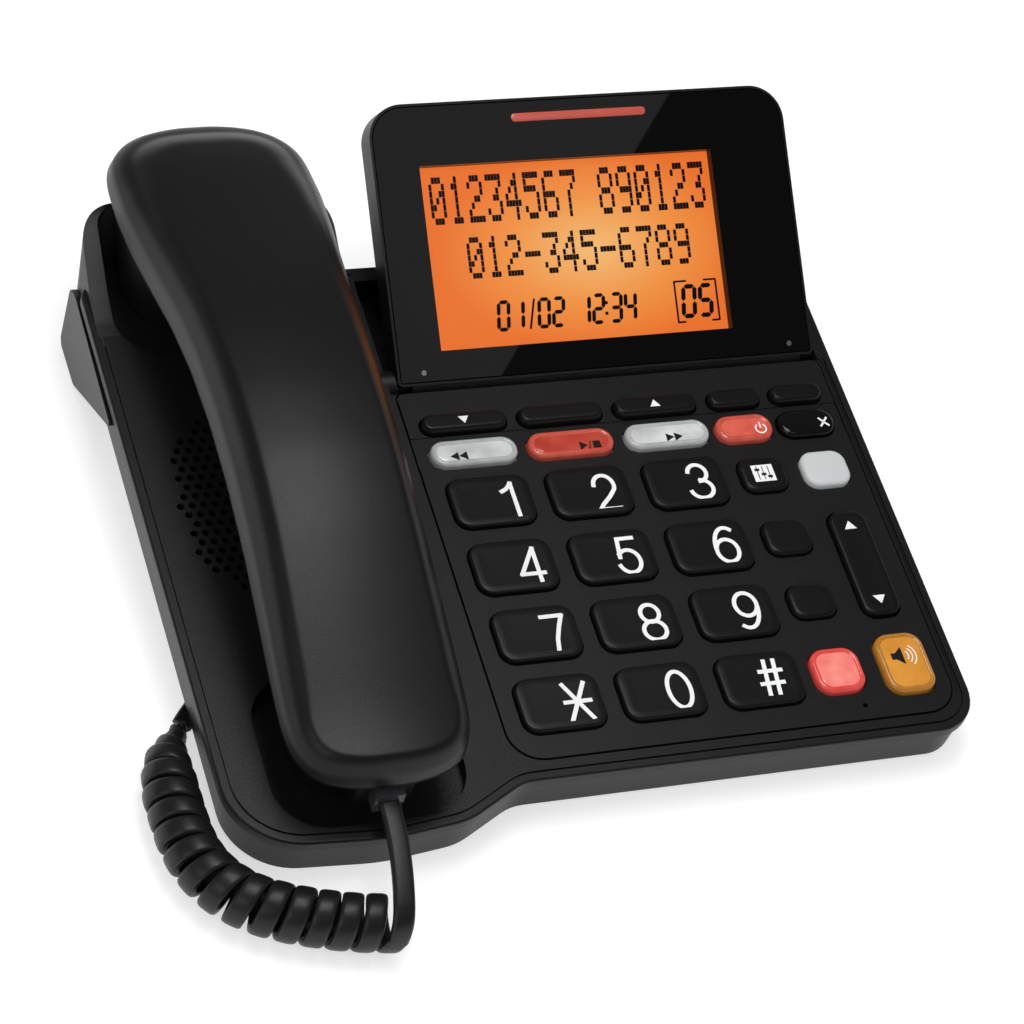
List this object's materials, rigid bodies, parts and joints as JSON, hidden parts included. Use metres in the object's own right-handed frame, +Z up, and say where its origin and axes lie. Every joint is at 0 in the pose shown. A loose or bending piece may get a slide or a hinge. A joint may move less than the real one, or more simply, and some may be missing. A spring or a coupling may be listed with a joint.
{
  "type": "answering machine",
  "caption": "Corded desk telephone with a digital answering machine: tilting display, keypad, handset in a side cradle and a curly cord.",
  "frame": {"origin": "on the desk, under the middle of the box round the telephone without its handset cord", "axes": "+X to the user's right, +Y to the rear, +Z up"},
  "size_m": [0.2247, 0.247, 0.0722],
  "materials": {
    "housing_black": "fine matte grain",
    "handset_black": "fine matte grain",
    "faceplate_black": "fine matte grain",
    "key_black": "soft matte",
    "key_gloss_black": "gloss",
    "key_clear_silver": "clear cap over silver",
    "key_clear_red": "clear cap over red",
    "key_light_grey": "satin",
    "key_amber": "clear cap over amber",
    "bezel_black": "matte",
    "lens_smoke": "polished",
    "lcd_amber": "polished",
    "backlight_white": "satin",
    "light_dark": "gloss",
    "silicone_grey": "matte",
    "board_green": "satin",
    "speaker_steel": "satin",
    "screw_steel": "satin",
    "jack_black": "satin",
    "foot_rubber": "matte",
    "cord_vinyl": "satin",
    "plug_clear": "clear"
  },
  "bodies": {
    "base": {"base_top_housing": "housing_black", "base_bottom_housing": "housing_black", "keypad_faceplate": "faceplate_black", "keypad_mat": "silicone_grey", "main_circuit_board": "board_green", "base_speaker": "speaker_steel", "base_microphone": "speaker_steel", "handset_jack": "jack_black", "line_jack": "jack_black", "power_jack": "jack_black", "base_screws": "screw_steel", "hinge_pins": "screw_steel", "desk_bracket": "housing_black", "rubber_feet": "foot_rubber", "base_cord_plug": "plug_clear", "handset_cord_lead": "cord_vinyl", "handset_cord_coil": "cord_vinyl", "handset_cord_tail": "cord_vinyl"},
    "display": {"display_rear_housing": "housing_black", "display_bezel": "bezel_black", "display_lens": "lens_smoke", "lcd_panel": "lcd_amber", "lcd_backlight": "backlight_white", "in_use_light": "light_dark", "display_screws": "screw_steel"},
    "handset": {"handset_outer_shell": "handset_black", "handset_inner_shell": "handset_black", "handset_receiver": "speaker_steel", "handset_microphone": "speaker_steel", "handset_cord_plug": "plug_clear"},
    "hook_switch": {"hook_plunger": "jack_black"},
    "key_1_body": {"key_1": "key_black"},
    "key_2_body": {"key_2": "key_black"},
    "key_3_body": {"key_3": "key_black"},
    "key_4_body": {"key_4": "key_black"},
    "key_5_body": {"key_5": "key_black"},
    "key_6_body": {"key_6": "key_black"},
    "key_7_body": {"key_7": "key_black"},
    "key_8_body": {"key_8": "key_black"},
    "key_9_body": {"key_9": "key_black"},
    "key_star_body": {"key_star": "key_black"},
    "key_0_body": {"key_0": "key_black"},
    "key_pound_body": {"key_pound": "key_black"},
    "call_log_button_body": {"call_log_button": "key_black"},
    "menu_button_body": {"menu_button": "key_black"},
    "directory_button_body": {"directory_button": "key_black"},
    "cancel_button_body": {"cancel_button": "key_black"},
    "redial_button_body": {"redial_button": "key_black"},
    "repeat_button_body": {"repeat_button": "key_clear_silver"},
    "play_stop_button_body": {"play_stop_button": "key_clear_red"},
    "skip_button_body": {"skip_button": "key_clear_silver"},
    "answer_on_button_body": {"answer_on_button": "key_clear_red"},
    "delete_button_body": {"delete_button": "key_gloss_black"},
    "equalizer_button_body": {"equalizer_button": "key_black"},
    "audio_assist_button_body": {"audio_assist_button": "key_light_grey"},
    "speed_dial_button_body": {"speed_dial_button": "key_black"},
    "flash_button_body": {"flash_button": "key_black"},
    "mute_button_body": {"mute_button": "key_clear_red"},
    "speaker_button_body": {"speaker_button": "key_amber"},
    "volume_rocker_body": {"volume_rocker": "key_black"}
  },
  "joints": [
    {"name": "display_tilt", "type": "hinge", "parent": "base", "child": "display", "pos_m": [-0.00005, 0.03253, 0.02305], "axis": [1, 0, 0], "range_deg": [-16, 24]},
    {"name": "handset_lift", "type": "slide", "parent": "base", "child": "handset", "axis": [0, -0.0872, 0.9962], "range_m": [0, 0.12]},
    {"name": "hook_rise", "type": "slide", "parent": "base", "child": "hook_switch", "axis": [0, -0.0872, 0.9962], "range_m": [0, 0.004]},
    {"name": "key_1_press", "type": "slide", "parent": "base", "child": "key_1_body", "axis": [0, 0.0872, -0.9962], "range_m": [0, 0.0012], "stiffness_N_per_m": 300, "springref_m": -0.0015},
    {"name": "key_2_press", "type": "slide", "parent": "base", "child": "key_2_body", "axis": [0, 0.0872, -0.9962], "range_m": [0, 0.0012], "stiffness_N_per_m": 300, "springref_m": -0.0015},
    {"name": "key_3_press", "type": "slide", "parent": "base", "child": "key_3_body", "axis": [0, 0.0872, -0.9962], "range_m": [0, 0.0012], "stiffness_N_per_m": 300, "springref_m": -0.0015},
    {"name": "key_4_press", "type": "slide", "parent": "base", "child": "key_4_body", "axis": [0, 0.0872, -0.9962], "range_m": [0, 0.0012], "stiffness_N_per_m": 300, "springref_m": -0.0015},
    {"name": "key_5_press", "type": "slide", "parent": "base", "child": "key_5_body", "axis": [0, 0.0872, -0.9962], "range_m": [0, 0.0012], "stiffness_N_per_m": 300, "springref_m": -0.0015},
    {"name": "key_6_press", "type": "slide", "parent": "base", "child": "key_6_body", "axis": [0, 0.0872, -0.9962], "range_m": [0, 0.0012], "stiffness_N_per_m": 300, "springref_m": -0.0015},
    {"name": "key_7_press", "type": "slide", "parent": "base", "child": "key_7_body", "axis": [0, 0.0872, -0.9962], "range_m": [0, 0.0012], "stiffness_N_per_m": 300, "springref_m": -0.0015},
    {"name": "key_8_press", "type": "slide", "parent": "base", "child": "key_8_body", "axis": [0, 0.0872, -0.9962], "range_m": [0, 0.0012], "stiffness_N_per_m": 300, "springref_m": -0.0015},
    {"name": "key_9_press", "type": "slide", "parent": "base", "child": "key_9_body", "axis": [0, 0.0872, -0.9962], "range_m": [0, 0.0012], "stiffness_N_per_m": 300, "springref_m": -0.0015},
    {"name": "key_star_press", "type": "slide", "parent": "base", "child": "key_star_body", "axis": [0, 0.0872, -0.9962], "range_m": [0, 0.0012], "stiffness_N_per_m": 300, "springref_m": -0.0015},
    {"name": "key_0_press", "type": "slide", "parent": "base", "child": "key_0_body", "axis": [0, 0.0872, -0.9962], "range_m": [0, 0.0012], "stiffness_N_per_m": 300, "springref_m": -0.0015},
    {"name": "key_pound_press", "type": "slide", "parent": "base", "child": "key_pound_body", "axis": [0, 0.0872, -0.9962], "range_m": [0, 0.0012], "stiffness_N_per_m": 300, "springref_m": -0.0015},
    {"name": "call_log_button_press", "type": "slide", "parent": "base", "child": "call_log_button_body", "axis": [0, 0.0872, -0.9962], "range_m": [0, 0.0012], "stiffness_N_per_m": 300, "springref_m": -0.0015},
    {"name": "menu_button_press", "type": "slide", "parent": "base", "child": "menu_button_body", "axis": [0, 0.0872, -0.9962], "range_m": [0, 0.0012], "stiffness_N_per_m": 300, "springref_m": -0.0015},
    {"name": "directory_button_press", "type": "slide", "parent": "base", "child": "directory_button_body", "axis": [0, 0.0872, -0.9962], "range_m": [0, 0.0012], "stiffness_N_per_m": 300, "springref_m": -0.0015},
    {"name": "cancel_button_press", "type": "slide", "parent": "base", "child": "cancel_button_body", "axis": [0, 0.0872, -0.9962], "range_m": [0, 0.0012], "stiffness_N_per_m": 300, "springref_m": -0.0015},
    {"name": "redial_button_press", "type": "slide", "parent": "base", "child": "redial_button_body", "axis": [0, 0.0872, -0.9962], "range_m": [0, 0.0012], "stiffness_N_per_m": 300, "springref_m": -0.0015},
    {"name": "repeat_button_press", "type": "slide", "parent": "base", "child": "repeat_button_body", "axis": [0, 0.0872, -0.9962], "range_m": [0, 0.0012], "stiffness_N_per_m": 300, "springref_m": -0.0015},
    {"name": "play_stop_button_press", "type": "slide", "parent": "base", "child": "play_stop_button_body", "axis": [0, 0.0872, -0.9962], "range_m": [0, 0.0012], "stiffness_N_per_m": 300, "springref_m": -0.0015},
    {"name": "skip_button_press", "type": "slide", "parent": "base", "child": "skip_button_body", "axis": [0, 0.0872, -0.9962], "range_m": [0, 0.0012], "stiffness_N_per_m": 300, "springref_m": -0.0015},
    {"name": "answer_on_button_press", "type": "slide", "parent": "base", "child": "answer_on_button_body", "axis": [0, 0.0872, -0.9962], "range_m": [0, 0.0012], "stiffness_N_per_m": 300, "springref_m": -0.0015},
    {"name": "delete_button_press", "type": "slide", "parent": "base", "child": "delete_button_body", "axis": [0, 0.0872, -0.9962], "range_m": [0, 0.0012], "stiffness_N_per_m": 300, "springref_m": -0.0015},
    {"name": "equalizer_button_press", "type": "slide", "parent": "base", "child": "equalizer_button_body", "axis": [0, 0.0872, -0.9962], "range_m": [0, 0.0012], "stiffness_N_per_m": 300, "springref_m": -0.0015},
    {"name": "audio_assist_button_press", "type": "slide", "parent": "base", "child": "audio_assist_button_body", "axis": [0, 0.0872, -0.9962], "range_m": [0, 0.0012], "stiffness_N_per_m": 300, "springref_m": -0.0015},
    {"name": "speed_dial_button_press", "type": "slide", "parent": "base", "child": "speed_dial_button_body", "axis": [0, 0.0872, -0.9962], "range_m": [0, 0.0012], "stiffness_N_per_m": 300, "springref_m": -0.0015},
    {"name": "flash_button_press", "type": "slide", "parent": "base", "child": "flash_button_body", "axis": [0, 0.0872, -0.9962], "range_m": [0, 0.0012], "stiffness_N_per_m": 300, "springref_m": -0.0015},
    {"name": "mute_button_press", "type": "slide", "parent": "base", "child": "mute_button_body", "axis": [0, 0.0872, -0.9962], "range_m": [0, 0.0012], "stiffness_N_per_m": 300, "springref_m": -0.0015},
    {"name": "speaker_button_press", "type": "slide", "parent": "base", "child": "speaker_button_body", "axis": [0, 0.0872, -0.9962], "range_m": [0, 0.0012], "stiffness_N_per_m": 300, "springref_m": -0.0015},
    {"name": "volume_rock", "type": "hinge", "parent": "base", "child": "volume_rocker_body", "pos_m": [0.08905, -0.04376, 0.01617], "axis": [1, 0, 0], "range_deg": [-3, 3], "stiffness_Nm_per_rad": 0.2}
  ],
  "couplings": [
    {"joint": "hook_rise", "follows": "handset_lift", "ratio": 0.0333}
  ]
}
